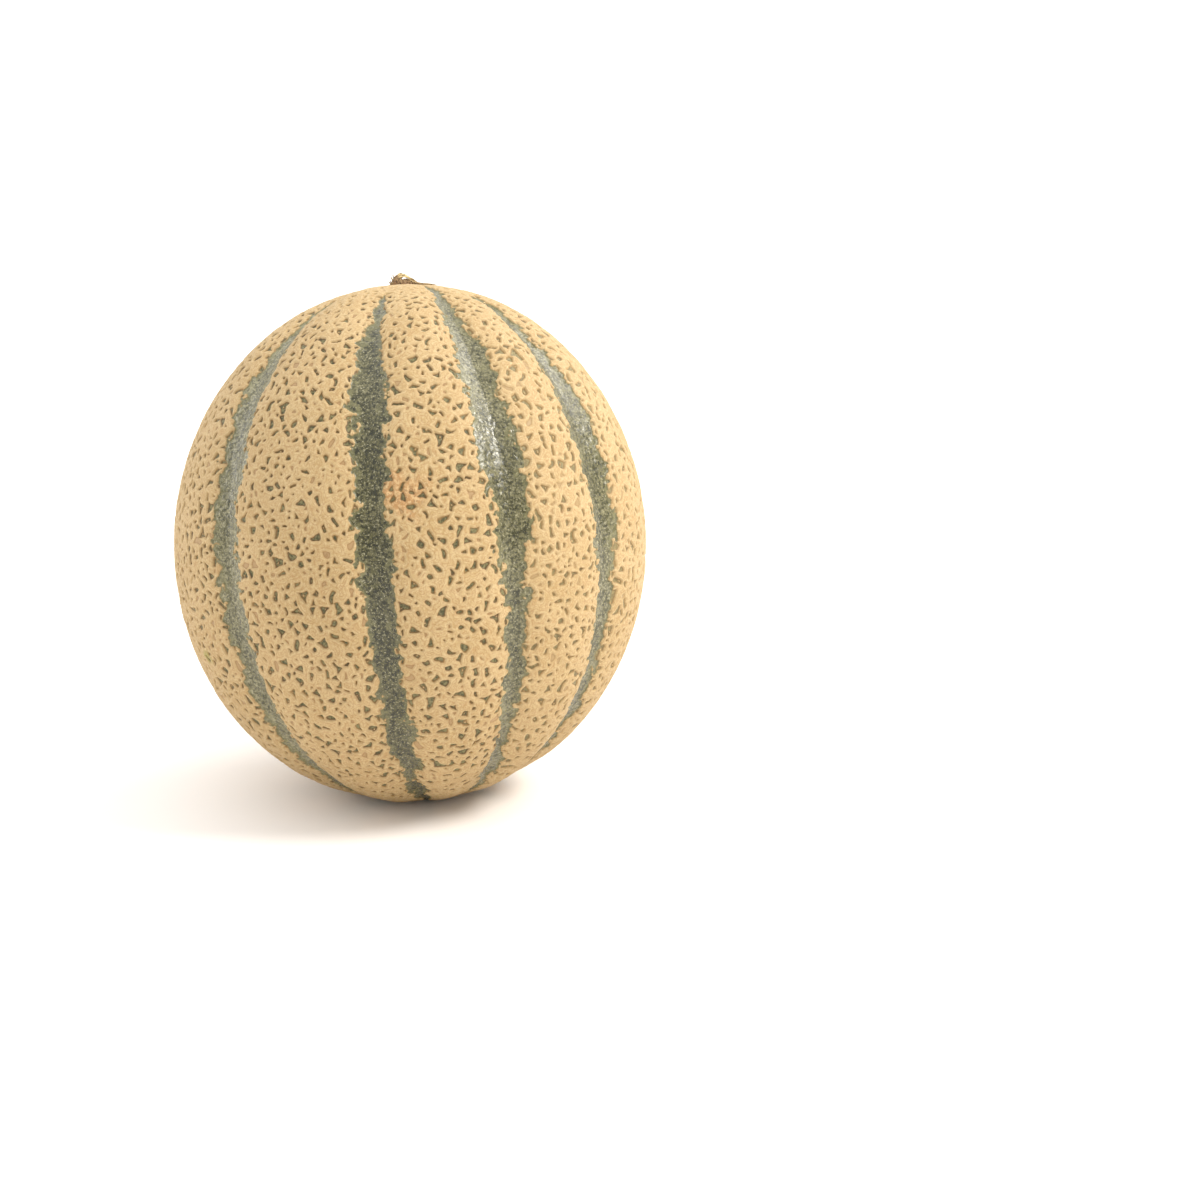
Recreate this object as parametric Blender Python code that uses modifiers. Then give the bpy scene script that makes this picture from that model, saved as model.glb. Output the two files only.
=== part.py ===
"""A whole netted cantaloupe melon with ten ribs, resting on a small flat spot.

Metres, +Z up. The origin is on the flat spot's plane, below the middle of the melon.
The melon's front faces -Y, and azimuths are counted from there towards +X.
Polar angles are counted from the stem end, round the melon's core line.
"""

import math

import bmesh
import bpy
from mathutils import Matrix, Vector

# The rind, over the crests of its ribs
CREST_DIAMETER = 0.1400
CREST_LENGTH = 0.1535
LONG_AXIS_LEAN = math.radians(3.5)  # the rind's long axis leans towards +X at the top
FLAT_SPOT_DEPTH = 0.0014

# The core line, from the stem end to the blossom end, is bowed: neither end is quite upright
STEM_END_LEAN = math.radians(-0.4)  # towards +X
STEM_END_TILT = math.radians(17.4)  # towards +Y
BLOSSOM_END_LEAN = math.radians(3.1)  # towards +X
BLOSSOM_END_TILT = math.radians(1.3)  # towards +Y
TWIST = math.radians(9.5)  # how far the ribs turn from the one end to the other

# The ribs meet in ten grooves, the sutures, which run from the stem end to the blossom end
SUTURE_AZIMUTHS = tuple(
    math.radians(azimuth)
    for azimuth in (-48.1, -8.0, 24.6, 53.0, 88.0, 122.0, 163.0, 197.0, 233.0, 272.0)
)
SUTURE_DEPTH = 0.0014
SUTURE_HALF_WIDTH = 0.0055
RIB_BULGE = 0.0010
RIBS_START = 0.10  # sine of the polar angle where the grooves begin to open
RIBS_FULL = 0.70  # sine of the polar angle where they are fully open

# The shallow cavity round the stem
CAVITY_DEPTH = 0.0012
CAVITY_RADIUS = 0.0085

# The dried stub of the stem
STUB_HEIGHT = 0.0060
STUB_TOP_RADIUS = 0.0018
STUB_WAIST_RADIUS = 0.0032
STUB_FOOT_RADIUS = 0.0042
STUB_FOOT_HEIGHT = 0.0010
SEAT_CLEARANCE = 0.0003

# How finely the surfaces are divided
COLUMNS_PER_RIB = 8
COLUMN_CROWDING = 0.5  # above 0, the columns stand closer together at the sutures
ROWS = 40
STUB_STEPS = 20

RIND_COLOUR = (0.69, 0.51, 0.29, 1.0)
STUB_COLOUR = (0.42, 0.30, 0.13, 1.0)

TURN = 2 * math.pi
RIBS = len(SUTURE_AZIMUTHS)
LONG_AXIS = Vector((math.sin(LONG_AXIS_LEAN), 0, math.cos(LONG_AXIS_LEAN)))


def clear_scene():
    for obj in list(bpy.data.objects):
        bpy.data.objects.remove(obj, do_unlink=True)


def make_material(name, colour, roughness):
    material = bpy.data.materials.new(name)
    material.use_nodes = True
    shader = material.node_tree.nodes["Principled BSDF"]
    shader.inputs["Base Color"].default_value = colour
    shader.inputs["Roughness"].default_value = roughness
    shader.inputs["Metallic"].default_value = 0.0
    return material


def smooth_step(low, high, value):
    share = min(max((value - low) / (high - low), 0.0), 1.0)
    return share * share * (3 - 2 * share)


def between(start, end, share):
    return start + (end - start) * share


def rib_gap(rib):
    """The angle from one suture to the next."""
    following = SUTURE_AZIMUTHS[(rib + 1) % RIBS]
    return (following - SUTURE_AZIMUTHS[rib]) % TURN


def azimuth_in_rib(rib, share):
    """The azimuth at a share, from 0 to 1, of the way across a rib, with more columns at its edges."""
    crowded = share - COLUMN_CROWDING * math.sin(TURN * share) / TURN
    return SUTURE_AZIMUTHS[rib] + crowded * rib_gap(rib)


def rib_inset(polar, azimuth):
    """How far the surface lies below the crests, from the grooves and the ribs' rounded backs."""
    ahead = [(azimuth - suture) % TURN for suture in SUTURE_AZIMUTHS]
    rib = ahead.index(min(ahead))
    into_rib = ahead[rib]
    to_suture = min(into_rib, rib_gap(rib) - into_rib)
    ring_radius = CREST_DIAMETER / 2 * math.sin(polar)
    groove = math.exp(-((to_suture * ring_radius / SUTURE_HALF_WIDTH) ** 2))
    flank = 1 - math.sin(math.pi * into_rib / rib_gap(rib))
    opened = smooth_step(RIBS_START, RIBS_FULL, math.sin(polar))
    return opened * (SUTURE_DEPTH * groove + RIB_BULGE * flank)


def cavity_inset(polar):
    return CAVITY_DEPTH * math.exp(-((polar * CREST_DIAMETER / 2 / CAVITY_RADIUS) ** 2))


def direction_of(polar, azimuth):
    """A direction from the melon's middle, following the bow and the twist of the core line."""
    share = polar / math.pi
    turned = azimuth + TWIST * (share - 0.5)
    upright = Vector(
        (
            math.sin(polar) * math.sin(turned),
            -math.sin(polar) * math.cos(turned),
            math.cos(polar),
        )
    )
    lean = between(STEM_END_LEAN, -BLOSSOM_END_LEAN, share)
    tilt = between(STEM_END_TILT, -BLOSSOM_END_TILT, share)
    return Matrix.Rotation(lean, 3, "Y") @ Matrix.Rotation(-tilt, 3, "X") @ upright


def crest_radius(direction):
    along = direction.dot(LONG_AXIS)
    across = math.sqrt(max(1 - along * along, 0))
    return 1 / math.hypot(along / (CREST_LENGTH / 2), across / (CREST_DIAMETER / 2))


def rind_point(polar, azimuth):
    """A point of the rind, from the melon's middle."""
    direction = direction_of(polar, azimuth)
    inset = rib_inset(polar, azimuth) + cavity_inset(polar)
    return direction * (crest_radius(direction) - inset)


def stem_axis():
    """The way out of the rind at the stem end."""
    direction = direction_of(0, 0)
    along = direction.dot(LONG_AXIS) * LONG_AXIS
    across = direction - along
    return (along / CREST_LENGTH**2 + across / CREST_DIAMETER**2).normalized()


def make_rind(collection, material):
    """The melon's body: a sphere whose columns follow the ribs, flattened where it rests."""
    mesh = bpy.data.meshes.new("melon_fruit")
    shape = bmesh.new()
    columns = RIBS * COLUMNS_PER_RIB
    bmesh.ops.create_uvsphere(shape, u_segments=columns, v_segments=ROWS, radius=1)
    for vertex in shape.verts:
        polar = math.acos(max(-1.0, min(1.0, vertex.co.z)))
        column = round(math.atan2(vertex.co.y, vertex.co.x) / TURN * columns) % columns
        rib, step = divmod(column, COLUMNS_PER_RIB)
        vertex.co = rind_point(polar, azimuth_in_rib(rib, step / COLUMNS_PER_RIB))
    floor = min(vertex.co.z for vertex in shape.verts) + FLAT_SPOT_DEPTH
    for vertex in shape.verts:
        vertex.co.z = max(vertex.co.z, floor)
    xs = [vertex.co.x for vertex in shape.verts]
    ys = [vertex.co.y for vertex in shape.verts]
    for face in shape.faces:
        face.smooth = True
    shape.to_mesh(mesh)
    shape.free()
    mesh.materials.append(material)
    rind = bpy.data.objects.new("melon_fruit", mesh)
    rind.location = (-(min(xs) + max(xs)) / 2, -(min(ys) + max(ys)) / 2, -floor)
    collection.objects.link(rind)
    return rind


def stub_profile():
    """The stub's outline from the top of its axis, down its outer side, to the foot of its axis."""
    return [
        (0, STUB_HEIGHT),
        (STUB_TOP_RADIUS * 0.7, STUB_HEIGHT),
        (STUB_TOP_RADIUS, STUB_HEIGHT * 0.92),
        (STUB_WAIST_RADIUS, STUB_HEIGHT * 0.45),
        (between(STUB_WAIST_RADIUS, STUB_FOOT_RADIUS, 0.3), STUB_FOOT_HEIGHT * 1.3),
        (STUB_FOOT_RADIUS, STUB_FOOT_HEIGHT * 0.6),
        (STUB_FOOT_RADIUS, 0),
        (0, 0),
    ]


def stub_seat():
    """The middle of the stub's foot, just clear of the rind that lies under its edge."""
    pole = rind_point(0, 0)
    axis = stem_axis()
    rise = 0
    for azimuth in SUTURE_AZIMUTHS:
        slope = rind_point(math.pi / ROWS, azimuth) - pole  # the rind is flat up to its first row
        up = slope.dot(axis)
        outward = (slope - up * axis).length
        rise = max(rise, up / outward * STUB_FOOT_RADIUS)
    return pole + axis * (rise + SEAT_CLEARANCE)


def make_stub(collection, rind, material):
    """The dried stub that the stem leaves, standing in the cavity."""
    mesh = bpy.data.meshes.new("stem_stub")
    points = [(radius, 0, height) for radius, height in stub_profile()]
    edges = [(i, i + 1) for i in range(len(points) - 1)]
    mesh.from_pydata(points, edges, [])
    mesh.materials.append(material)
    stub = bpy.data.objects.new("stem_stub", mesh)
    stub.parent = rind
    stub.location = stub_seat()
    stub.rotation_euler = stem_axis().to_track_quat("Z", "Y").to_euler()
    collection.objects.link(stub)
    screw = stub.modifiers.new("turned", "SCREW")
    screw.axis = "Z"
    screw.angle = TURN
    screw.steps = STUB_STEPS
    screw.render_steps = STUB_STEPS
    screw.use_merge_vertices = True
    screw.merge_threshold = 0.00001
    screw.use_smooth_shade = True
    return stub


def main():
    clear_scene()
    collection = bpy.data.collections.new("cantaloupe_melon")
    bpy.context.scene.collection.children.link(collection)
    rind = make_rind(collection, make_material("netted_rind", RIND_COLOUR, 0.75))
    make_stub(collection, rind, make_material("dried_stem", STUB_COLOUR, 0.9))


main()
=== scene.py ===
"""The looks of the netted cantaloupe melon: its corky net, its sutures and its dried stem stub.

Metres, +Z up, as in the frame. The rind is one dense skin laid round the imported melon. Its relief
and its colours both come from a few fields, worked out in millimetres at every point of the skin
and kept on the mesh, so that a pit's edge in the colours is its edge in the relief.
"""

import math

import bpy
import numpy as np
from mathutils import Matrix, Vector


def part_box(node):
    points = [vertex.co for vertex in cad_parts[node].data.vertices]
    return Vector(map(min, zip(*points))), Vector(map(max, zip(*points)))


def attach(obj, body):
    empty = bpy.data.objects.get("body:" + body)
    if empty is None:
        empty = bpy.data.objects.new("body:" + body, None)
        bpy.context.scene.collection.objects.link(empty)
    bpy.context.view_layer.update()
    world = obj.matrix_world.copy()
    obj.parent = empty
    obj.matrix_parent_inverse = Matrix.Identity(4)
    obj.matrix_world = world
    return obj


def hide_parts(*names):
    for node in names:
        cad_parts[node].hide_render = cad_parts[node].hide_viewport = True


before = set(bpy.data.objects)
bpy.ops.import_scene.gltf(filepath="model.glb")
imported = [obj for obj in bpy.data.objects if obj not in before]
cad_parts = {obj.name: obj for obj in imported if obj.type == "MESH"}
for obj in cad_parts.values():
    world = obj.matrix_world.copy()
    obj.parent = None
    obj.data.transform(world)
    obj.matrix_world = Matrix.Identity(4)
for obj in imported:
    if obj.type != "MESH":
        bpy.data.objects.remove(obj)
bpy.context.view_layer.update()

TURN = 2 * math.pi

# The bare rind's shape in millimetres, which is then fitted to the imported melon's box
CREST_DIAMETER = 140.0
CREST_LENGTH = 153.5
LONG_AXIS_LEAN = math.radians(3.5)
FLAT_SPOT_DEPTH = 1.4
STEM_END_LEAN = math.radians(-0.4)
STEM_END_TILT = math.radians(17.4)
BLOSSOM_END_LEAN = math.radians(3.1)
BLOSSOM_END_TILT = math.radians(1.3)
TWIST = math.radians(9.5)
SUTURES = np.radians([-48.1, -8.0, 24.6, 53.0, 88.0, 122.0, 163.0, 197.0, 233.0, 272.0])
RIB_GAPS = (np.roll(SUTURES, -1) - SUTURES) % TURN
SUTURE_DEPTH = 1.4
SUTURE_HALF_WIDTH = 5.5
RIB_BULGE = 1.0
RIBS_START = 0.10  # sine of the polar angle where the grooves begin to open
RIBS_FULL = 0.70  # sine of the polar angle where they are fully open
CAVITY_DEPTH = 1.2
CAVITY_RADIUS = 8.5
LONG_AXIS = np.array([math.sin(LONG_AXIS_LEAN), 0, math.cos(LONG_AXIS_LEAN)])
BOW_ROUNDS = 6  # the bow's share of a polar angle settles in so many rounds

# The dried stub of the stem
STUB_HEIGHT = 7.1
CORE_HEIGHT = 4.5
CORE_FOOT_RADIUS = 4.1
CORE_LEAN = 0.17  # towards -X, per height
CORE_COLUMNS = 56
CORE_PROFILE = (  # shares of the height and of the foot's radius, up the side and into the hollow
    (0.0, 0.4), (0.0, 0.96), (0.05, 1.04), (0.14, 1.03), (0.26, 1.0),
    (0.40, 0.94), (0.54, 0.85), (0.68, 0.73), (0.80, 0.61), (0.90, 0.5),
    (0.97, 0.4), (1.0, 0.32), (0.93, 0.24), (0.80, 0.16), (0.74, 0.08),
)
HOLLOW_FLOOR = 0.7  # as a share of the core's height
STUB_FIBRES = 46
STUB_STRANDS = 12
STUB_SCALES = 17
TOE_PLACES = (-1.2, -0.4, 0.5)
SEAT = 0.3  # how far the stub's foot stands off the rind
OFF_PATH = (0.31, 0.92, 0.23)  # a direction that no tube's path follows

# The skin: six square patches, like a cube blown up to a ball
PATCH_CELLS = 448
PATCH_AXES = (  # the ways that each patch's rows and columns run, and the way that it faces
    ((0, 1, 0), (0, 0, 1), (1, 0, 0)),
    ((-1, 0, 0), (0, 0, 1), (0, 1, 0)),
    ((0, -1, 0), (0, 0, 1), (-1, 0, 0)),
    ((1, 0, 0), (0, 0, 1), (0, -1, 0)),
    ((0, 1, 0), (-1, 0, 0), (0, 0, 1)),
    ((0, 1, 0), (1, 0, 0), (0, 0, -1)),
)
PATCHES = len(PATCH_AXES)
PATCH_FACING = 0.3  # a direction that faces a patch less than this isn't looked for on it
PATCH_STRETCH = 1.55  # how much wider an angle may look on a patch's grid than in its middle
WELD_STEPS = 200000  # grid points that agree to one of these, in a direction's length, are one
MAP_COLUMNS = 3
MAP_ROWS = 2
MAP_MARGIN = 0.012

# Each noise below is a height and a wavelength, both in millimetres, and a seed

# The smooth bands along the sutures
BAND_WANDER = ((0.6, 17.0, 11),)
BAND_RAGGEDNESS = ((1.2, 7.0, 12), (1.4, 3.3, 13), (1.6, 1.7, 14), (0.8, 0.8, 15))
BAND_TIP_CLOSING = 1.6  # how far the net closes in over a band's tips
BAND_HALF_WIDTH = 5.3
BAND_FULLNESS = np.array([0.96, 0.97, 1.04, 1.04, 0.9, 1.05, 0.95, 1.1, 0.88, 1.0])
BAND_SLIMMING = np.array([0.10, 0.16, 0.50, 0.30, 0.2, 0.35, 0.15, 0.4, 0.2, 0.3])
# How pale each band is: wax bloom, and on the first, third and fourth bands also painted sheen and
# reflection
BAND_PALENESS_AND_SHEEN = np.array([0.75, -0.12, 0.50, 0.55, 0.3, 0.7, 0.2, 0.5, 0.15, 0.6])
BAND_DELAY = np.radians([4, 7, 0, 2, 5, 1, 6, 3, 0, 5])  # how much nearer the equator each starts
BAND_POLAR = np.radians([0, 9, 14, 20, 30, 42, 58, 80, 105, 130, 155, 172, 180])
BAND_SHARE = np.array([0, 0, 0.16, 0.28, 0.44, 0.70, 0.98, 1.0, 0.92, 0.75, 0.5, 0.2, 0])

# A rough orange scab beside a suture and a small green blemish, each in its direction from the
# melon's middle, and the scar of the blossom
SCAB = np.array([-0.045, -0.90, 0.425])
SCAB_RADIUS = 7.0
BLEMISH = np.array([-0.828, -0.447, -0.337])
BLEMISH_RADIUS = 2.4
SCAR_RADIUS = 5.0

# The net of cork
NET_THICKNESS = 0.62
NET_EDGE = 0.72  # its height beside a pit or a band, as a share of its thickness
SHOULDER = 0.55  # how far in from a pit it reaches its full height
BAND_SHOULDER = 1.3  # and from a band
COLLAR = (3.2, 7.0)  # the relief starts and is full this far from the stem's middle
CORK_GRAIN = ((0.045, 1.1, 41), (0.03, 0.55, 42))
CORK_SWELL = ((0.10, 5.0, 43),)
BAND_GOOSE = ((0.085, 1.0, 44),)
SCAB_CRUST = ((0.16, 1.3, 45), (0.10, 0.6, 46))

# The pits in it, the large ones placed first
PIT_TRIES = 60000
PIT_FIRST_SIZE = 1.42
PIT_SIZE_DROP = 1.06
PIT_SIZE_CURVE = 0.36
PIT_SIZE_SPREAD = 0.17
PIT_SIZE_LIMITS = (0.34, 1.65)
PIT_SIZE_SWELL = ((0.14, 18.0, 21),)
PIT_END_SIZE = 0.66  # how large the pits near the melon's ends are, against those at its middle
PIT_REACH = 0.7  # how much of its size a pit keeps clear round its middle
PIT_BAND_GAP = 0.2  # how much of its size a pit's middle keeps off a band
PIT_GRID = 5.0
PIT_WARP = ((0.38, 1.9, 31), (0.16, 0.8, 34))  # each seed is the first of three, one for each axis
STRAND = 1.36  # the usual width of the cork between two pits
STRAND_SPREAD = (0.7, 1.35)
FAR = 3.0  # beyond this, how far the nearest pit is makes no difference
SLIT_SHARE = 0.45
SLIT_SHARE_BESIDE_BAND = 0.25  # more slits there
PIT_SIDES = (3, 4, 5)
PIT_SIDE_SHARES = (0.62, 0.30, 0.08)
PIT_DEPTHS = (1.0, 0.8, 0.4)
PIT_DEPTH_SHARES = (0.76, 0.18, 0.06)
SMALL_PIT = 0.75
SMALL_PIT_DEPTH_SHARES = (0.52, 0.24, 0.24)
SPECKED_PIT = 1.1  # pits larger than this may have an island of cork
SPECK_SHARE = 0.35
# How faint the pits of each rib are, from 0 to 1
RIB_FAINTNESS = np.array([0.0, 0.05, 0.5, 0.6, 0.3, 0.0, 0.3, 0.1, 0.2, 0.1])


# ---------------------------------------------------------------- numbers that look random


def hash_unit(ix, iy, iz, seed):
    """A repeatable number from 0 to 1 for each whole-numbered place."""
    h = (ix * 374761393 + iy * 668265263 + iz * 2147483647 + seed * 1274126177) & 0xFFFFFFFF
    h = ((h ^ (h >> 13)) * 1274126177) & 0xFFFFFFFF
    h = ((h ^ (h >> 16)) * 2246822519) & 0xFFFFFFFF
    return ((h ^ (h >> 15)) & 0xFFFFFF) / 0xFFFFFF


def noise(points, wavelength, seed):
    """Smooth noise from -1 to 1 at each point."""
    p = points / wavelength + 1000.0
    whole = np.floor(p).astype(np.int64)
    part = p - whole
    part = part * part * part * (part * (part * 6 - 15) + 10)
    total = np.zeros(len(points))
    for dx in (0, 1):
        wx = part[:, 0] if dx else 1 - part[:, 0]
        for dy in (0, 1):
            wy = part[:, 1] if dy else 1 - part[:, 1]
            for dz in (0, 1):
                wz = part[:, 2] if dz else 1 - part[:, 2]
                corner = hash_unit(whole[:, 0] + dx, whole[:, 1] + dy, whole[:, 2] + dz, seed)
                total += wx * wy * wz * corner
    return total * 2 - 1


def waves(points, noises):
    """The sum of several noises, each with its height, wavelength and seed."""
    return sum(height * noise(points, wavelength, seed) for height, wavelength, seed in noises)


def smooth_step(low, high, value):
    share = np.clip((value - low) / (high - low), 0, 1)
    return share * share * (3 - 2 * share)


# ---------------------------------------------------------------- the bare rind


def turn_back(directions, lean, tilt):
    """Undoes the lean about Y and the tilt about X, each given for every direction."""
    x, y, z = directions.T
    c, s = np.cos(-lean), np.sin(-lean)
    x, z = c * x + s * z, c * z - s * x
    c, s = np.cos(tilt), np.sin(tilt)
    return x, c * y - s * z, s * y + c * z


def melon_angles(directions):
    """Each direction's polar angle and azimuth round the melon's bowed and twisted core line."""
    share = np.full(len(directions), 0.5)
    for _ in range(BOW_ROUNDS):
        lean = STEM_END_LEAN + (-BLOSSOM_END_LEAN - STEM_END_LEAN) * share
        tilt = STEM_END_TILT + (-BLOSSOM_END_TILT - STEM_END_TILT) * share
        x, y, z = turn_back(directions, lean, tilt)
        polar = np.arccos(np.clip(z, -1, 1))
        share = polar / math.pi
    azimuth = np.arctan2(x, -y) - TWIST * (share - 0.5)
    return polar, azimuth % TURN


def end_direction(lean, tilt):
    """The core line's upward direction at an end; the blossom end itself lies against it."""
    return np.array(
        [math.sin(lean) * math.cos(tilt), math.sin(tilt), math.cos(lean) * math.cos(tilt)]
    )


def nearest_suture(polar, azimuth):
    """Each point's share of the way across its rib, its way from the nearer suture, and which.

    The way is in millimetres along the rind, less than 0 on the suture's lower side.
    """
    ahead = (azimuth[:, None] - SUTURES[None, :]) % TURN
    rib = np.argmin(ahead, axis=1)
    into = ahead[np.arange(len(rib)), rib]
    gap = RIB_GAPS[rib]
    ring = CREST_DIAMETER / 2 * np.sin(polar)
    signed = np.where(into < gap / 2, into, into - gap) * ring
    suture = np.where(into < gap / 2, rib, (rib + 1) % len(SUTURES))
    return into / gap, signed, suture


def bare_radius(directions, polar, azimuth):
    """The rind's radius without its net, in millimetres."""
    along = directions @ LONG_AXIS
    across = np.sqrt(np.maximum(1 - along**2, 0))
    crest = 1 / np.hypot(along / (CREST_LENGTH / 2), across / (CREST_DIAMETER / 2))
    share, signed, _ = nearest_suture(polar, azimuth)
    opened = smooth_step(RIBS_START, RIBS_FULL, np.sin(polar))
    groove = SUTURE_DEPTH * np.exp(-((signed / SUTURE_HALF_WIDTH) ** 2))
    flank = RIB_BULGE * (1 - np.sin(math.pi * share))
    cavity = CAVITY_DEPTH * np.exp(-((polar * CREST_DIAMETER / 2 / CAVITY_RADIUS) ** 2))
    return crest - opened * (groove + flank) - cavity


# ---------------------------------------------------------------- the skin's patches


def patch_directions(patch):
    steps = np.tan(np.linspace(-1, 1, PATCH_CELLS + 1) * math.pi / 4)
    s, t = np.meshgrid(steps, steps, indexing="ij")
    right, up, out = (np.array(axis, dtype=float) for axis in PATCH_AXES[patch])
    d = s[..., None] * right + t[..., None] * up + out
    return d / np.linalg.norm(d, axis=2, keepdims=True)


def patch_window(patch, direction, angle):
    """The part of a patch's grid within an angle of a direction, as two slices, or None."""
    right, up, out = (np.dot(direction, axis) for axis in PATCH_AXES[patch])
    if out < PATCH_FACING:
        return None
    reach = angle * 4 / math.pi * PATCH_STRETCH
    window = []
    for side in (right, up):
        middle = math.atan(side / out) * 4 / math.pi
        low = math.ceil((middle - reach + 1) / 2 * PATCH_CELLS)
        high = math.floor((middle + reach + 1) / 2 * PATCH_CELLS)
        if high < 0 or low > PATCH_CELLS:
            return None
        window.append(slice(max(low, 0), min(high, PATCH_CELLS) + 1))
    return tuple(window)


# ---------------------------------------------------------------- the pits


def band_edge(points, polar, azimuth):
    """How far each point is from the nearest band, in millimetres, less than 0 inside it.

    With it come how pale that band is, partly with painted sheen, and how faint the pits of the
    point's own rib are.
    """
    _, signed, suture = nearest_suture(polar, azimuth)
    wander = waves(points, BAND_WANDER)
    delay = BAND_DELAY[suture] * smooth_step(math.radians(60), math.radians(25), polar)
    share = np.interp(polar - delay, BAND_POLAR, BAND_SHARE)
    slimmer = 1 - BAND_SLIMMING[suture] * smooth_step(math.radians(70), math.radians(115), polar)
    half = BAND_HALF_WIDTH * BAND_FULLNESS[suture] * slimmer * share
    ragged = waves(points, BAND_RAGGEDNESS) * (0.35 + 0.65 * share)
    edge = np.abs(signed + wander) - half + ragged + BAND_TIP_CLOSING * (1 - share) ** 6
    rib = (suture - (signed < 0)) % len(SUTURES)
    return edge, BAND_PALENESS_AND_SHEEN[suture], RIB_FAINTNESS[rib] * share


def random_directions(rng, count):
    d = rng.normal(size=(count, 3))
    return d / np.linalg.norm(d, axis=1, keepdims=True)


def place_pits(rng):
    """Directions and sizes of the pits, the large ones first, kept a strand of the net apart."""
    directions = random_directions(rng, PIT_TRIES)
    polar, azimuth = melon_angles(directions)
    radius = bare_radius(directions, polar, azimuth)
    points = directions * radius[:, None]
    edge, _, _ = band_edge(points, polar, azimuth)
    order = np.arange(PIT_TRIES) / PIT_TRIES
    size = PIT_FIRST_SIZE - PIT_SIZE_DROP * order**PIT_SIZE_CURVE
    size = size + rng.normal(0, PIT_SIZE_SPREAD, PIT_TRIES)
    size = np.clip(size * (1 + waves(points, PIT_SIZE_SWELL)), *PIT_SIZE_LIMITS)
    size = size * (PIT_END_SIZE + (1 - PIT_END_SIZE) * smooth_step(0.12, 0.6, np.sin(polar)))
    strand = STRAND * rng.uniform(*STRAND_SPREAD, PIT_TRIES)
    keys = np.floor(points / PIT_GRID).astype(int)
    grid = {}
    kept = []
    for i in np.nonzero(edge > PIT_BAND_GAP * size)[0]:
        kx, ky, kz = keys[i]
        beside = [
            other
            for dx in (-1, 0, 1)
            for dy in (-1, 0, 1)
            for dz in (-1, 0, 1)
            for other in grid.get((kx + dx, ky + dy, kz + dz), ())
        ]
        x, y, z = points[i]
        reach = PIT_REACH * size[i] + strand[i]
        if all(
            (x - ox) ** 2 + (y - oy) ** 2 + (z - oz) ** 2 > (reach + other_reach) ** 2
            for ox, oy, oz, other_reach in beside
        ):
            grid.setdefault((kx, ky, kz), []).append((x, y, z, PIT_REACH * size[i]))
            kept.append(i)
    return directions[kept], size[kept], edge[kept]


def pit_frame(direction, turn):
    """Two directions along the rind at a pit, turned by an angle from the melon's up and down."""
    up = np.array([0.0, 0.0, 1.0]) - direction * direction[2]
    if np.dot(up, up) < 0.01:
        up = np.array([1.0, 0.0, 0.0]) - direction * direction[0]
    up /= np.linalg.norm(up)
    side = np.cross(up, direction)
    c, s = math.cos(turn), math.sin(turn)
    return c * side + s * up, c * up - s * side


def pit_shape(rng, size, edge):
    """A pit's sides, each with the way it faces, how far out it is and how it bends.

    It is a slit or a rounded polygon, and beside a band most pits lie along it.
    """
    beside_band = math.exp(-max(edge, 0) / 2.5)
    if rng.random() < SLIT_SHARE + SLIT_SHARE_BESIDE_BAND * beside_band:
        wide, long = 0.10 + size * rng.uniform(0.26, 0.46), size * rng.uniform(0.85, 1.4)
        angles = np.radians([90, 0, 270, 180]) + rng.normal(0, 0.22, 4)
        offsets = np.array([wide, long, wide, long])
        bend = rng.normal(0, 0.13) / size
        bends = np.array([bend, 0, -bend, 0])
    else:
        sides = rng.choice(PIT_SIDES, p=PIT_SIDE_SHARES)
        angles = np.arange(sides) * TURN / sides + rng.normal(0, 0.24, sides)
        offsets = 0.08 + size * rng.uniform(0.40, 0.76, sides) * (1 + 0.08 * (sides - 3))
        bends = rng.normal(-0.08, 0.15, sides) / size
    turn = rng.normal(math.pi / 2, 0.7) if rng.random() < 0.65 else rng.uniform(0, math.pi)
    if beside_band > rng.random():
        turn = rng.normal(math.pi / 2, 0.35)
    depth_shares = SMALL_PIT_DEPTH_SHARES if size < SMALL_PIT else PIT_DEPTH_SHARES
    return {
        "sides": list(zip(np.cos(angles), np.sin(angles), offsets, bends)),
        "limit": size * 1.6,
        "rounding": 0.07 + 0.10 * size,
        "turn": turn,
        "depth": rng.choice(PIT_DEPTHS, p=depth_shares),
        "speck": size > SPECKED_PIT and rng.random() < SPECK_SHARE,
    }


def pit_distance(x, y, shape):
    """Roughly how far a place is outside a pit's edge, less than 0 inside."""
    rounding = shape["rounding"]
    total = np.exp((np.hypot(x, y) - shape["limit"]) / rounding)
    for across, up, offset, bend in shape["sides"]:
        along = x * up - y * across
        out = x * across + y * up - offset + bend * along * along
        total += np.exp(np.clip(out / rounding, -30, 30))
    return rounding * np.log(total)


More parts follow.
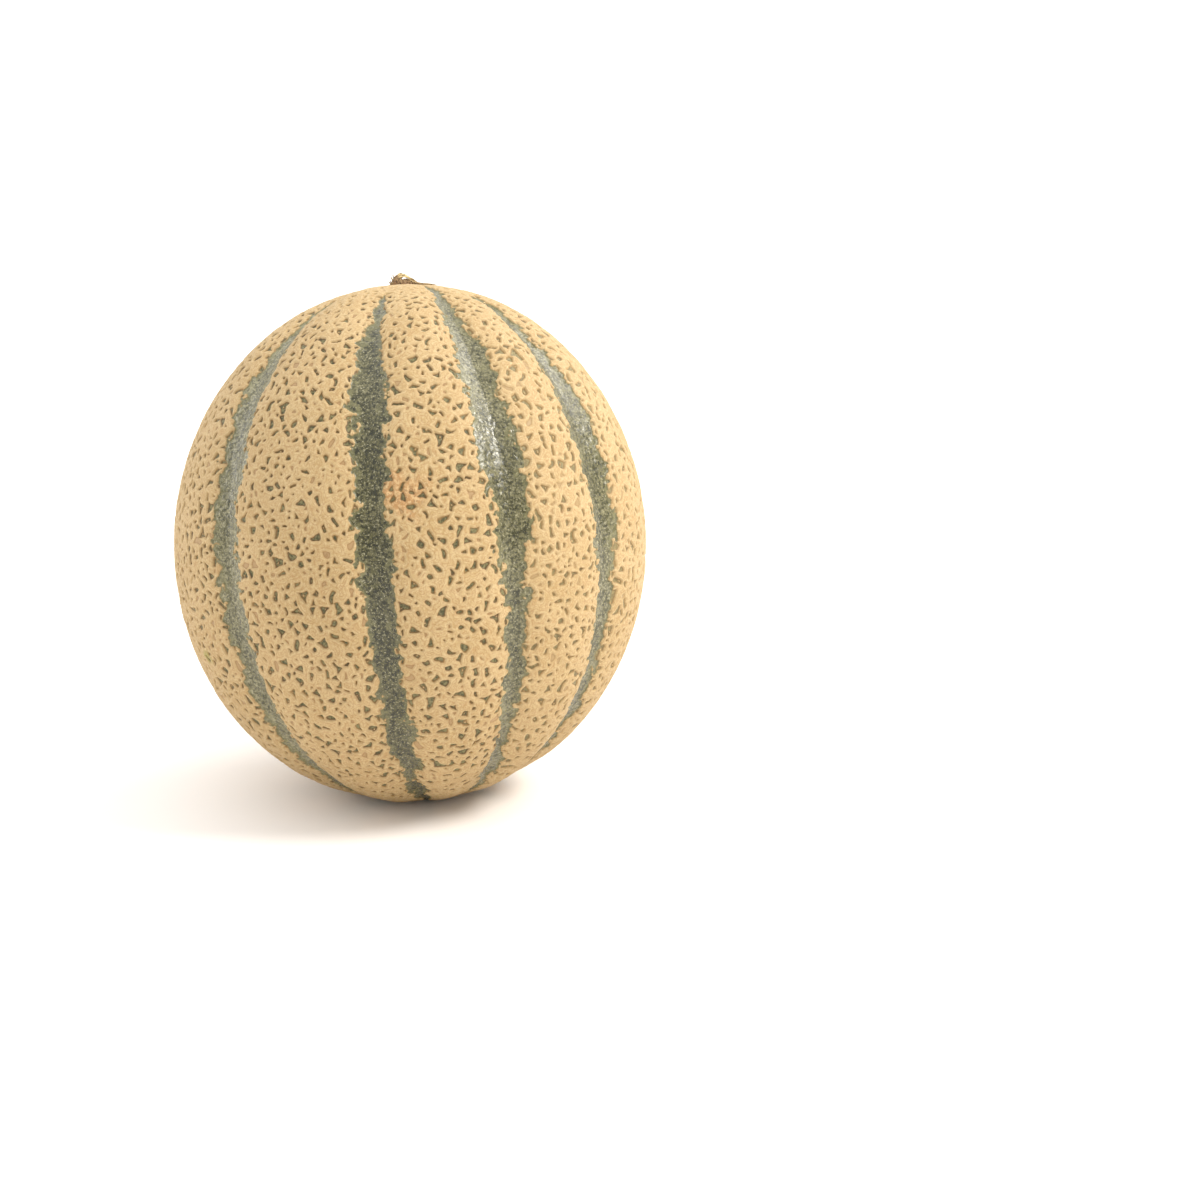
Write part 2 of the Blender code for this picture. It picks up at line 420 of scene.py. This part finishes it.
def carve_pits(rng, patches, warped):
    """Each patch's way to the nearest pit, that pit's depth, and a number of that pit's own."""
    directions, sizes, edges = place_pits(rng)
    away = [np.full(d.shape[:2], FAR) for d in patches]
    depth = [np.ones(d.shape[:2]) for d in patches]
    tone = [np.full(d.shape[:2], 0.5) for d in patches]
    scale = CREST_DIAMETER / 2
    for direction, size, edge in zip(directions, sizes, edges):
        shape = pit_shape(rng, size, edge)
        own = rng.random()
        speck_x, speck_y = rng.uniform(-0.3, 0.3, 2) * size
        reach = (size * 2.4 + 1.2) / scale
        middle = None
        for patch in range(PATCHES):
            window = patch_window(patch, direction, reach)
            if window is None:
                continue
            near = warped[patch][window]
            if middle is None:
                middle = direction * np.median(np.linalg.norm(near.reshape(-1, 3), axis=1))
                side, up = pit_frame(direction, shape["turn"])
            offset = near - middle
            x, y = offset @ side, offset @ up
            d = pit_distance(x, y, shape)
            if shape["speck"]:
                island = 0.22 * size - np.hypot(x - speck_x, (y - speck_y) * 1.4)
                d = np.maximum(d, island)
            nearer = d < away[patch][window]
            away[patch][window] = np.where(nearer, d, away[patch][window])
            depth[patch][window] = np.where(nearer, shape["depth"], depth[patch][window])
            tone[patch][window] = np.where(nearer, own, tone[patch][window])
    return away, depth, tone


# ---------------------------------------------------------------- the rind's mesh


def skin_fields():
    """Everything that the relief and the colours need, at each point of the six patches."""
    rng = np.random.default_rng(7)
    patches = [patch_directions(patch) for patch in range(PATCHES)]
    directions = np.concatenate([d.reshape(-1, 3) for d in patches])
    polar, azimuth = melon_angles(directions)
    radius = bare_radius(directions, polar, azimuth)
    points = directions * radius[:, None]
    warp = [
        waves(points, [(height, wavelength, seed + axis) for height, wavelength, seed in PIT_WARP])
        for axis in range(3)
    ]
    shaped = (PATCH_CELLS + 1, PATCH_CELLS + 1, 3)
    warped = [p.reshape(shaped) for p in np.split(points + np.stack(warp, axis=1), PATCHES)]
    away, depth, tone = carve_pits(rng, patches, warped)
    edge, pale, faint = band_edge(points, polar, azimuth)
    blossom_end = -end_direction(-BLOSSOM_END_LEAN, -BLOSSOM_END_TILT)
    return {
        "directions": directions,
        "radius": radius,
        "points": points,
        "polar": polar,
        "pit": np.concatenate([a.ravel() for a in away]),
        "depth": np.concatenate([a.ravel() for a in depth]),
        "tone": np.concatenate([a.ravel() for a in tone]),
        "edge": edge,
        "pale": pale,
        "faint": faint,
        "scab": spot(points, SCAB, SCAB_RADIUS, 51),
        "blemish": spot(points, BLEMISH, BLEMISH_RADIUS, 53),
        "scar": spot(points, blossom_end, SCAR_RADIUS, 55),
    }


def spot(points, direction, radius, seed):
    """A spot's strength, from 0 to 1: a round place with a ragged edge."""
    flat = direction / np.linalg.norm(direction)
    middle = points[np.argmax((points @ flat) / np.linalg.norm(points, axis=1))]
    away = np.linalg.norm(points - middle, axis=1)
    near = away < radius * 2.5
    strength = np.zeros(len(points))
    ragged = waves(points[near], ((0.35, radius * 0.7, seed), (0.25, radius * 0.25, seed + 1)))
    strength[near] = smooth_step(1.25, 0.45, away[near] / radius + ragged)
    return strength


def net_relief(fields):
    """The height of the surface over the bare rind, in millimetres."""
    points, edge = fields["points"], fields["edge"]
    pit = np.minimum(fields["pit"], FAR)
    wall = smooth_step(-0.20, 0.22, pit)
    shoulder = 1 - (1 - np.clip(pit / SHOULDER, 0, 1)) ** 2
    floor = (1 - fields["depth"]) * NET_THICKNESS
    top = NET_THICKNESS * (NET_EDGE + (1 - NET_EDGE) * shoulder)
    in_net = floor + (top - floor) * wall
    band_wall = smooth_step(-0.25, 0.30, edge)
    band_shoulder = 1 - (1 - np.clip(edge / BAND_SHOULDER, 0, 1)) ** 2
    height = in_net * band_wall * (NET_EDGE + (1 - NET_EDGE) * band_shoulder)
    cork = np.clip(height / NET_THICKNESS, 0, 1)
    on_cork = waves(points, CORK_GRAIN) + waves(points, CORK_SWELL)
    on_bands = waves(points, BAND_GOOSE)
    crust = fields["scab"] * waves(points, SCAB_CRUST)
    collar = smooth_step(*COLLAR, fields["polar"] * CREST_DIAMETER / 2)
    return (height + crust + cork * on_cork + (1 - cork) * on_bands) * collar


def fit_to_frame(points):
    """The scale and the offset that put the bare melon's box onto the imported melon's box."""
    low, high = (np.array(corner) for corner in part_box("melon_fruit"))
    floor = points[:, 2].min() + FLAT_SPOT_DEPTH
    own_low = np.array([points[:, 0].min(), points[:, 1].min(), floor])
    own_high = points.max(axis=0)
    scale = (high - low) / (own_high - own_low)
    return scale, low - own_low * scale


def patch_quads():
    n = PATCH_CELLS + 1
    i, j = np.meshgrid(np.arange(PATCH_CELLS), np.arange(PATCH_CELLS), indexing="ij")
    corner = (i * n + j).ravel()
    one = np.stack([corner, corner + n, corner + n + 1, corner + 1], axis=1)
    return np.concatenate([one + patch * n * n for patch in range(PATCHES)])


def patch_map():
    """Each patch's own square of the map, for every grid point."""
    steps = np.linspace(0, 1, PATCH_CELLS + 1)
    s, t = np.meshgrid(steps, steps, indexing="ij")
    squares = []
    for patch in range(PATCHES):
        column, row = patch % MAP_COLUMNS, patch // MAP_COLUMNS
        u = (column + MAP_MARGIN + s * (1 - 2 * MAP_MARGIN)) / MAP_COLUMNS
        v = (row + MAP_MARGIN + t * (1 - 2 * MAP_MARGIN)) / MAP_ROWS
        squares.append(np.stack([u.ravel(), v.ravel()], axis=1))
    return np.concatenate(squares)


def weld(directions):
    """For every grid point its own vertex, shared where patches meet."""
    whole = np.round((directions + 2) * WELD_STEPS).astype(np.int64)
    key = (whole[:, 0] * 1000003 + whole[:, 1]) * 1000003 + whole[:, 2]
    _, first, where = np.unique(key, return_index=True, return_inverse=True)
    return first, where


def add_field(mesh, name, values):
    layer = mesh.attributes.new(name, "FLOAT", "POINT")
    layer.data.foreach_set("value", values.astype(np.float32))


def add_smooth(name, mesh):
    """A new object of the mesh, smoothly shaded."""
    mesh.polygons.foreach_set("use_smooth", np.ones(len(mesh.polygons), dtype=bool))
    made = bpy.data.objects.new(name, mesh)
    bpy.context.collection.objects.link(made)
    return made


def make_rind():
    """The rind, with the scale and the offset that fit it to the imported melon."""
    fields = skin_fields()
    scale, offset = fit_to_frame(fields["points"])
    relief = net_relief(fields)
    lifted = fields["directions"] * (fields["radius"] + relief)[:, None]
    places = lifted * scale + offset
    places[:, 2] = np.maximum(places[:, 2], 0)
    first, where = weld(fields["directions"])
    quads = where[patch_quads()]
    mesh = bpy.data.meshes.new("rind")
    mesh.vertices.add(len(first))
    mesh.vertices.foreach_set("co", places[first].astype(np.float32).ravel())
    mesh.loops.add(quads.size)
    mesh.loops.foreach_set("vertex_index", quads.astype(np.int32).ravel())
    mesh.polygons.add(len(quads))
    mesh.polygons.foreach_set("loop_start", np.arange(0, quads.size, 4, dtype=np.int32))
    mesh.update(calc_edges=True)
    mesh.validate()
    uv = mesh.uv_layers.new(name="OFBake")
    uv.data.foreach_set("uv", patch_map()[patch_quads()].astype(np.float32).ravel())
    add_field(mesh, "pit", np.clip(fields["pit"], -FAR, FAR)[first])
    add_field(mesh, "band", np.clip(fields["edge"], -9, 9)[first])
    add_field(mesh, "pit_depth", fields["depth"][first])
    add_field(mesh, "pit_tone", fields["tone"][first])
    for name in ("pale", "faint", "scab", "blemish", "scar"):
        add_field(mesh, name, fields[name][first])
    return add_smooth("rind", mesh), scale, offset


# ---------------------------------------------------------------- the stem's dried stub


def tube(path, radii, sides, flatness, turn=0.0):
    """A closed, tapering tube along a path: its points and its faces."""
    path = np.array(path, dtype=float)
    tangents = np.gradient(path, axis=0)
    tangents /= np.linalg.norm(tangents, axis=1, keepdims=True)
    angles = np.arange(sides) * TURN / sides + turn
    rings = []
    for place, tangent, radius in zip(path, tangents, radii):
        aside = np.cross(tangent, OFF_PATH)
        aside /= np.linalg.norm(aside)
        other = np.cross(tangent, aside)
        ring = np.cos(angles)[:, None] * aside + flatness * np.sin(angles)[:, None] * other
        rings.append(place + radius * ring)
    return closed_rings(path[0], rings, path[-1])


def closed_rings(start, rings, end):
    """The points and faces of a surface through rings, closed to a point at either end."""
    columns = len(rings[0])
    points = np.concatenate([[start], *rings, [end]])
    faces = []
    for column in range(columns):
        following = (column + 1) % columns
        faces.append((0, 1 + following, 1 + column))
        for row in range(len(rings) - 1):
            low, high = 1 + row * columns, 1 + (row + 1) * columns
            faces.append((low + column, low + following, high + following, high + column))
        last = 1 + (len(rings) - 1) * columns
        faces.append((last + column, last + following, len(points) - 1))
    return points, faces


def stub_core(rng):
    """The stub's ridged core, broken off raggedly at the top with a hollow in its middle."""
    angles = np.arange(CORE_COLUMNS) * TURN / CORE_COLUMNS
    ridges = 0.09 * np.sin(angles * 7 + 0.6) + 0.06 * np.sin(angles * 12 + 2.0)
    ridges += 0.05 * np.sin(angles * 19 + 1.0)
    top = CORE_HEIGHT - 0.45 * np.cos(angles) + 0.40 * np.cos(angles * 2)
    top += 0.18 * np.sin(angles * 5 + 0.4) + rng.normal(0, 0.18, CORE_COLUMNS)
    rings = []
    for share, width in CORE_PROFILE:
        radius = CORE_FOOT_RADIUS * width * (1 + ridges * (0.35 + 1.1 * share))
        radius += rng.normal(0, 0.03, CORE_COLUMNS)
        turned = angles + 0.4 * share
        height = top * share
        x = radius * np.cos(turned) - CORE_LEAN * height
        rings.append(np.stack([x, radius * np.sin(turned), height], axis=1))
    hollow = CORE_HEIGHT * HOLLOW_FLOOR
    return closed_rings([0, 0, 0], rings, [-CORE_LEAN * hollow, 0, hollow])


def fibre(rng):
    """One dry fibre that has come loose from the core and bends away from it."""
    angle = rng.uniform(0, TURN)
    low = rng.uniform(0.1, 0.8)
    root = CORE_FOOT_RADIUS * np.interp(low, [0, 0.4, 1], [1.0, 0.92, 0.4])
    outward = np.array([math.cos(angle), math.sin(angle), 0])
    around = np.array([-math.sin(angle), math.cos(angle), 0])
    on_left = 0.5 - 0.5 * math.cos(angle)
    length = rng.uniform(0.8, 1.5) + 2.0 * on_left * low
    flare = rng.uniform(0.05, 0.65) * (1.1 - low)
    sway = rng.normal(0, 0.3)
    path = []
    steps = np.linspace(0, 1, 8)
    for t in steps:
        height = low * CORE_HEIGHT + length * (t - 0.35 * flare * t * t)
        place = outward * (root - 0.12 + flare * t**1.6 * length)
        place += around * (sway * t * t + 0.05 * math.sin(5 * t + angle))
        path.append(place + np.array([-CORE_LEAN * height, 0, height]))
    thick = rng.uniform(0.14, 0.30)
    return tube(path, thick * (1 - 0.75 * steps**1.5), 6, rng.uniform(0.4, 0.8), angle)


def strand(rng, across):
    """One thick strand that arches over the core, high on its -X side, a way across the stub."""
    share = rng.uniform(0, 1)
    height = STUB_HEIGHT * (1.04 - 0.30 * share) * (1 - 0.03 * across * across)
    corners = np.array(
        [
            (rng.uniform(-3.3, -2.5), across * 1.3, 1.4),
            (rng.uniform(-3.1, -2.3) + share, across, height * 1.24),
            (rng.uniform(-1.2, 0.0) + 1.5 * share, across * 0.8, height * 1.08),
            (rng.uniform(2.6, 4.3), across * 1.2, rng.uniform(1.9, 2.6)),
        ]
    )
    path, phase = [], rng.uniform(0, TURN)
    for t in np.linspace(0, 1, 18):
        shares = np.array([(1 - t) ** 3, 3 * t * (1 - t) ** 2, 3 * t * t * (1 - t), t**3])
        wave = 0.17 * math.sin(11 * t + phase)
        path.append(shares @ corners + np.array([wave, 0.5 * wave, -wave]))
    thick = rng.uniform(0.20, 0.38)
    radii = thick * (1 - 0.45 * np.linspace(0, 1, 18)) * (1 + 0.12 * np.sin(np.arange(18) * 1.9))
    return tube(path, radii, 7, rng.uniform(0.55, 0.9), phase)


def toe(rng, across):
    """One short thick scale that sticks out of the foot towards -X."""
    steps = np.linspace(0, 1, 7)
    drop = rng.uniform(0.1, 0.4)
    path = [(-2.8 - 1.6 * t, across * (1 + 0.2 * t), 3.0 - drop * t * t - 0.2 * t) for t in steps]
    return tube(path, 0.46 * (1 - 0.7 * steps**2), 7, 0.7, across)


def flange_scale(rng, angle):
    """One dry scale of the ragged foot, lying against the rind."""
    outward = np.array([math.cos(angle), math.sin(angle), 0])
    reach = CORE_FOOT_RADIUS + rng.uniform(0.1, 0.75)
    path = [
        outward * (2.7 + (reach - 2.7) * t) + np.array([0, 0, 0.75 - 0.72 * t + 0.1 * t * t])
        for t in np.linspace(0, 1, 6)
    ]
    radii = rng.uniform(0.2, 0.42) * np.array([0.9, 1.0, 0.95, 0.8, 0.6, 0.25])
    return tube(path, radii, 6, 0.55, rng.uniform(0, TURN))


def sliver():
    """The long dry sliver that has torn off the stub and reaches over the rind towards +X."""
    steps = np.linspace(0, 1, 14)
    path = [
        (
            1.2 + 8.2 * t,
            -0.2 - 2.8 * t + 0.3 * math.sin(5.0 * t),
            np.interp(t, [0, 0.2, 0.45, 0.75, 1.0], [3.6, 2.9, 2.4, 2.05, 1.6]),
        )
        for t in steps
    ]
    return tube(path, 0.60 * (1 - steps) ** 0.9 + 0.10, 7, 0.7)


def stub_parts(rng):
    """The points, the faces and the tone, from brown to straw, of each part of the stub."""
    parts = [(*stub_core(rng), 0.12)]
    parts += [(*fibre(rng), rng.uniform(0.1, 1.0)) for _ in range(STUB_FIBRES)]
    for across in np.linspace(-1.5, 1.5, STUB_STRANDS):
        parts.append((*strand(rng, across + rng.normal(0, 0.15)), rng.uniform(0.6, 1.0)))
    parts += [(*toe(rng, across), rng.uniform(0.5, 1.0)) for across in TOE_PLACES]
    for angle in np.arange(STUB_SCALES) * TURN / STUB_SCALES:
        foot_scale = flange_scale(rng, angle + rng.normal(0, 0.12))
        parts.append((*foot_scale, rng.uniform(0.0, 0.6)))
    parts.append((*sliver(), 0.8))
    return parts


def stub_seat():
    """The middle of the stub's foot on the bare rind, and its three axes, the last one upwards."""
    stem_end = end_direction(STEM_END_LEAN, STEM_END_TILT)
    lengthwise = stem_end @ LONG_AXIS * LONG_AXIS
    up = lengthwise / CREST_LENGTH**2 + (stem_end - lengthwise) / CREST_DIAMETER**2
    up /= np.linalg.norm(up)
    across = np.array([1.0, 0, 0]) - up[0] * up
    across /= np.linalg.norm(across)
    polar, azimuth = melon_angles(stem_end[None, :])
    foot = stem_end * bare_radius(stem_end[None, :], polar, azimuth) + SEAT * up
    return foot, np.stack([across, np.cross(up, across), up])


def make_stub(scale, offset):
    """The frayed stub of the stem, standing on the rind at the stem end."""
    points, faces, tone = [], [], []
    for part_points, part_faces, part_tone in stub_parts(np.random.default_rng(23)):
        start = sum(len(p) for p in points)
        points.append(part_points)
        faces += [tuple(start + corner for corner in face) for face in part_faces]
        tone.append(np.full(len(part_points), part_tone))
    points = np.concatenate(points)
    foot, axes = stub_seat()
    placed = (foot + points @ axes) * scale + offset
    mesh = bpy.data.meshes.new("stub")
    mesh.from_pydata(placed.tolist(), [], faces)
    add_field(mesh, "height", np.clip(points[:, 2] / STUB_HEIGHT, 0, 1))
    add_field(mesh, "tone", np.concatenate(tone))
    return add_smooth("stub", mesh)


# ---------------------------------------------------------------- materials


class Nodes:
    """A material's nodes, added one line at a time."""

    def __init__(self, name):
        self.material = bpy.data.materials.new(name)
        self.material.use_nodes = True
        self.tree = self.material.node_tree
        self.shader = self.tree.nodes["Principled BSDF"]

    def add(self, kind, inputs=None, **settings):
        node = self.tree.nodes.new("ShaderNode" + kind)
        for key, value in settings.items():
            setattr(node, key, value)
        for key, value in (inputs or {}).items():
            self.put(node.inputs[key], value)
        return node

    def put(self, socket, value):
        if isinstance(value, bpy.types.NodeSocket):
            self.tree.links.new(value, socket)
        else:
            socket.default_value = value

    def field(self, name):
        return self.add("Attribute", attribute_name=name).outputs["Fac"]

    def math(self, operation, a, b=0.0, c=0.0):
        node = self.add("Math", operation=operation)
        for socket, value in zip(node.inputs, (a, b, c)):
            self.put(socket, value)
        return node.outputs[0]

    def step(self, value, low, high, start=0.0, end=1.0):
        """A smooth change from start to end as the value goes from low to high."""
        node = self.add("MapRange", interpolation_type="SMOOTHSTEP", clamp=True)
        for key, number in zip(
            ("Value", "From Min", "From Max", "To Min", "To Max"), (value, low, high, start, end)
        ):
            self.put(node.inputs[key], number)
        return node.outputs[0]

    def noise(self, size_mm, detail=2.0, roughness=0.5, distortion=0.0):
        """Noise from about 0 to 1 with waves of a size in millimetres."""
        inputs = {"Scale": 1000 / size_mm, "Detail": detail, "Roughness": roughness}
        inputs["Distortion"] = distortion
        node = self.add("TexNoise", inputs)
        self.put(node.inputs["Vector"], self.places)
        return node.outputs["Fac"]

    @property
    def places(self):
        if not hasattr(self, "_places"):
            self._places = self.add("TexCoord").outputs["Object"]
        return self._places

    def mix(self, share, a, b):
        """The colour a where the share is 0, and the colour b where it is 1."""
        node = self.add("Mix", data_type="RGBA")
        self.put(node.inputs[0], share)
        self.put(node.inputs[6], a)
        self.put(node.inputs[7], b)
        return node.outputs[2]


def srgb(red, green, blue):
    """A colour that is given by its display values, from 0 to 255."""

    def linear(value):
        value /= 255
        return value / 12.92 if value <= 0.04045 else ((value + 0.055) / 1.055) ** 2.4

    return (linear(red), linear(green), linear(blue), 1.0)


def rind_material():
    n = Nodes("netted_rind")
    pit, band = n.field("pit"), n.field("band")
    pit_depth, pit_tone = n.field("pit_depth"), n.field("pit_tone")

    # Cork: cream, with paler lips, warmer patches and fine growth lines that follow the pits
    patches = n.noise(14, detail=3)
    cork = n.mix(n.step(patches, 0.35, 0.65), srgb(171, 143, 94), srgb(179, 152, 105))
    fine = n.noise(0.9, detail=4, roughness=0.65)
    cork = n.mix(n.step(fine, 0.42, 0.62, 0.0, 0.6), cork, srgb(194, 172, 130))
    specks = n.noise(0.42, detail=3, roughness=0.7)
    cork = n.mix(n.step(specks, 0.45, 0.34, 0.0, 0.55), cork, srgb(146, 104, 62))
    cork = n.mix(n.step(specks, 0.58, 0.70, 0.0, 0.5), cork, srgb(210, 191, 154))
    warm = n.noise(2.6, detail=3, roughness=0.6)
    cork = n.mix(n.step(warm, 0.52, 0.75, 0.0, 0.45), cork, srgb(168, 132, 84))
    lines = n.math("SINE", n.math("MULTIPLY_ADD", pit, 10.0, n.math("MULTIPLY", fine, 9.0)))
    cork = n.mix(n.step(lines, 0.0, 1.0, 0.0, 0.42), cork, srgb(150, 112, 70))
    lip = n.math("MULTIPLY", n.step(pit, 0.15, 0.35), n.step(pit, 0.8, 0.4))
    cork = n.mix(n.math("MULTIPLY", lip, 0.25), cork, srgb(195, 174, 131))

    # Its scab, blemish and blossom scar
    flakes = n.mix(n.step(fine, 0.45, 0.62), srgb(166, 118, 68), srgb(200, 166, 118))
    cracks = n.step(n.noise(1.4, detail=3, roughness=0.7, distortion=1.0), 0.44, 0.40)
    flakes = n.mix(n.math("MULTIPLY", cracks, 0.7), flakes, srgb(112, 74, 42))
    cork = n.mix(n.math("MULTIPLY", n.field("scab"), 0.65), cork, flakes)
    cork = n.mix(n.math("MULTIPLY", n.field("blemish"), 0.6), cork, srgb(140, 138, 62))
    cork = n.mix(n.math("MULTIPLY", n.field("scar"), 0.8), cork, srgb(128, 98, 62))

    # Pits: brown cork walls, darkened with painted shade in the recess, then a grey-green floor
    # where the pit is wide enough
    wall_and_shade = n.mix(pit_tone, srgb(92, 68, 36), srgb(134, 103, 56))
    floor = n.mix(n.step(n.noise(0.7, detail=2), 0.35, 0.65), srgb(68, 66, 34), srgb(122, 114, 74))
    inside = n.mix(n.step(pit, -0.08, -0.32), wall_and_shade, floor)
    shallow = n.mix(n.step(pit, -0.05, -0.35), srgb(142, 110, 68), srgb(160, 130, 88))
    inside = n.mix(n.step(pit_depth, 0.8, 0.5), inside, shallow)
    inside = n.mix(n.math("MULTIPLY", n.field("faint"), 0.75), inside, srgb(160, 138, 92))
    net = n.mix(n.step(pit, 0.15, -0.12), cork, inside)

    # Bands: waxy grey-green, mottled, paler on some of them with bloom and partly with painted
    # sheen and reflection
    blotches = n.noise(1.1, detail=3, roughness=0.65)
    grain = n.noise(0.58, detail=3, roughness=0.7)
    bloom_and_sheen = n.math("ADD", n.field("pale"), n.step(n.noise(22, detail=2), 0.3, 0.7, -0.25, 0.25))
    bloom_and_sheen = n.math("ADD", bloom_and_sheen, n.step(n.noise(5, detail=2), 0.35, 0.65, -0.16, 0.16))
    dark_green = n.mix(bloom_and_sheen, srgb(38, 38, 12), srgb(98, 94, 60))
    pale_green = n.mix(bloom_and_sheen, srgb(90, 86, 54), srgb(146, 140, 107))
    green = n.mix(n.step(blotches, 0.40, 0.58), dark_green, pale_green)
    green = n.mix(n.step(band, -1.4, -3.4, 0.0, 0.20), green, srgb(38, 39, 16))
    green = n.mix(n.step(grain, 0.48, 0.38, 0.0, 0.85), green, srgb(26, 26, 6))
    green = n.mix(n.step(grain, 0.54, 0.66, 0.0, 0.62), green, srgb(168, 162, 132))
    green = n.mix(n.step(band, -1.6, -0.2, 0.0, 0.55), green, srgb(116, 112, 74))
    edge = n.mix(n.step(band, 0.22, 0.0), net, srgb(134, 114, 72))
    colour = n.mix(n.step(band, 0.10, -0.14), edge, green)
    n.put(n.shader.inputs["Base Color"], colour)

    # Gloss: dull cork, waxy bands
    in_band = n.step(band, 0.05, -0.15)
    in_pit = n.step(pit, 0.0, -0.2)
    rough = n.step(fine, 0.3, 0.7, 0.62, 0.8)
    rough = n.math("SUBTRACT", rough, n.math("MULTIPLY", in_pit, 0.12))
    gloss = n.step(grain, 0.36, 0.58, 0.38, 0.14)
    node = n.add("Mix", {0: in_band}, data_type="FLOAT")
    n.put(node.inputs[2], rough)
    n.put(node.inputs[3], gloss)
    n.put(n.shader.inputs["Roughness"], node.outputs[0])
    n.shader.inputs["Specular IOR Level"].default_value = 0.5

    # Relief finer than the mesh
    grit = n.math("MULTIPLY_ADD", n.noise(0.45, detail=3, roughness=0.7), 0.5, fine)
    bump = n.add("Bump", {"Strength": 0.5, "Distance": 0.00012, "Height": grit})
    n.put(n.shader.inputs["Normal"], bump.outputs[0])
    return n.material


def stub_material():
    n = Nodes("dried_stem")
    height, tone = n.field("height"), n.field("tone")
    straw = n.mix(tone, srgb(112, 78, 44), srgb(226, 202, 148))
    streaks = n.noise(0.35, detail=3, roughness=0.7)
    pale = n.math("MULTIPLY", n.step(streaks, 0.45, 0.7), n.math("MULTIPLY_ADD", tone, 0.7, 0.15))
    straw = n.mix(pale, straw, srgb(232, 212, 160))
    straw = n.mix(n.step(height, 0.66, 0.36, 0.0, 0.55), straw, srgb(108, 72, 40))
    # Painted shade: near-black patches where the gaps between the fibres lie
    gap_shade = n.noise(0.8, detail=3, roughness=0.6)
    straw = n.mix(n.step(gap_shade, 0.48, 0.40, 0.0, 0.85), straw, srgb(46, 31, 17))
    n.put(n.shader.inputs["Base Color"], straw)
    n.put(n.shader.inputs["Roughness"], n.step(streaks, 0.3, 0.7, 0.72, 0.88))
    bump = n.add("Bump", {"Strength": 0.6, "Distance": 0.0001, "Height": streaks})
    n.put(n.shader.inputs["Normal"], bump.outputs[0])
    return n.material


# ---------------------------------------------------------------- the studio

VIEW_ELEVATION = math.radians(14.0)
VIEW_DISTANCE = 0.795
VIEW_PITCH = math.radians(15.28)
VIEW_YAW = math.radians(4.17)
LENS = 79.9
SENSOR = 36.0
CLIP_END = 200.0
FLOOR_SIZE = 60.0
FLOOR_COLOUR = (0.92, 0.89, 0.86, 1)
DOME_LEVEL = 0.80
DOME_SLOPE = (-0.22, 0.24, 0.75)
DOME_FOOT = 0.06  # the dome is white up to here, as the floor is
LIGHTS = (  # name, place, diameter, watts and colour
    ("key", (0.95, -0.38, 1.00), 0.46, 15.5, (1.0, 0.97, 0.93)),
    ("rim", (0.95, 0.60, 0.95), 0.90, 8.0, (1.0, 0.97, 0.93)),
    ("fill", (-1.05, 0.35, 0.45), 0.80, 2.9, (1.0, 0.98, 0.96)),
)


def melon_middle():
    low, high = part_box("melon_fruit")
    return (Vector(low) + Vector(high)) / 2


def make_camera():
    camera = bpy.data.cameras.new("camera")
    camera.lens = LENS
    camera.sensor_width = SENSOR
    camera.clip_end = CLIP_END
    holder = bpy.data.objects.new("camera", camera)
    back = math.cos(VIEW_ELEVATION) * VIEW_DISTANCE
    up = math.sin(VIEW_ELEVATION) * VIEW_DISTANCE
    holder.location = melon_middle() + Vector((0, -back, up))
    holder.rotation_euler = (math.pi / 2 - VIEW_PITCH, 0, -VIEW_YAW)
    bpy.context.collection.objects.link(holder)
    bpy.context.scene.camera = holder


def make_floor():
    bpy.ops.mesh.primitive_plane_add(size=FLOOR_SIZE)
    floor = bpy.context.object
    floor.name = "floor"
    n = Nodes("floor")
    n.shader.inputs["Base Color"].default_value = FLOOR_COLOUR
    n.shader.inputs["Roughness"].default_value = 0.7
    n.shader.inputs["Specular IOR Level"].default_value = 0.0
    floor.data.materials.append(n.material)


def make_light(name, place, size, power, colour):
    light = bpy.data.lights.new(name, "AREA")
    light.shape = "DISK"
    light.size = size
    light.energy = power
    light.color = colour
    holder = bpy.data.objects.new(name, light)
    holder.location = place
    holder.rotation_euler = (melon_middle() - Vector(place)).to_track_quat("-Z", "Y").to_euler()
    bpy.context.collection.objects.link(holder)


def make_world():
    """A white dome, brighter overhead, behind and on the left than in front and on the right."""
    world = bpy.data.worlds.new("studio")
    world.use_nodes = True
    nodes, links = world.node_tree.nodes, world.node_tree.links
    direction = nodes.new("ShaderNodeTexCoord").outputs["Generated"]
    dot = nodes.new("ShaderNodeVectorMath")
    dot.operation = "DOT_PRODUCT"
    dot.inputs[1].default_value = DOME_SLOPE
    links.new(direction, dot.inputs[0])
    level = nodes.new("ShaderNodeMath")
    level.inputs[1].default_value = DOME_LEVEL
    links.new(dot.outputs["Value"], level.inputs[0])
    height = nodes.new("ShaderNodeSeparateXYZ")
    links.new(direction, height.inputs[0])
    foot = nodes.new("ShaderNodeMath")
    foot.operation = "LESS_THAN"
    foot.inputs[1].default_value = DOME_FOOT
    links.new(height.outputs["Z"], foot.inputs[0])
    whiter = nodes.new("ShaderNodeMath")
    whiter.operation = "MAXIMUM"
    links.new(level.outputs[0], whiter.inputs[0])
    links.new(foot.outputs[0], whiter.inputs[1])
    links.new(whiter.outputs[0], nodes["Background"].inputs["Strength"])
    nodes["Background"].inputs["Color"].default_value = (1.0, 1.0, 1.0, 1.0)
    bpy.context.scene.world = world


def make_studio():
    make_floor()
    for light in LIGHTS:
        make_light(*light)
    make_world()
    bpy.context.scene.view_settings.view_transform = "Standard"


# ---------------------------------------------------------------- putting it together


def main():
    rind, scale, offset = make_rind()
    rind.data.materials.append(rind_material())
    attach(rind, "root")
    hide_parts("melon_fruit")
    stub = make_stub(scale, offset)
    stub.data.materials.append(stub_material())
    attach(stub, "root")
    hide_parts("stem_stub")
    make_studio()
    make_camera()


main()

bpy.context.view_layer.update()
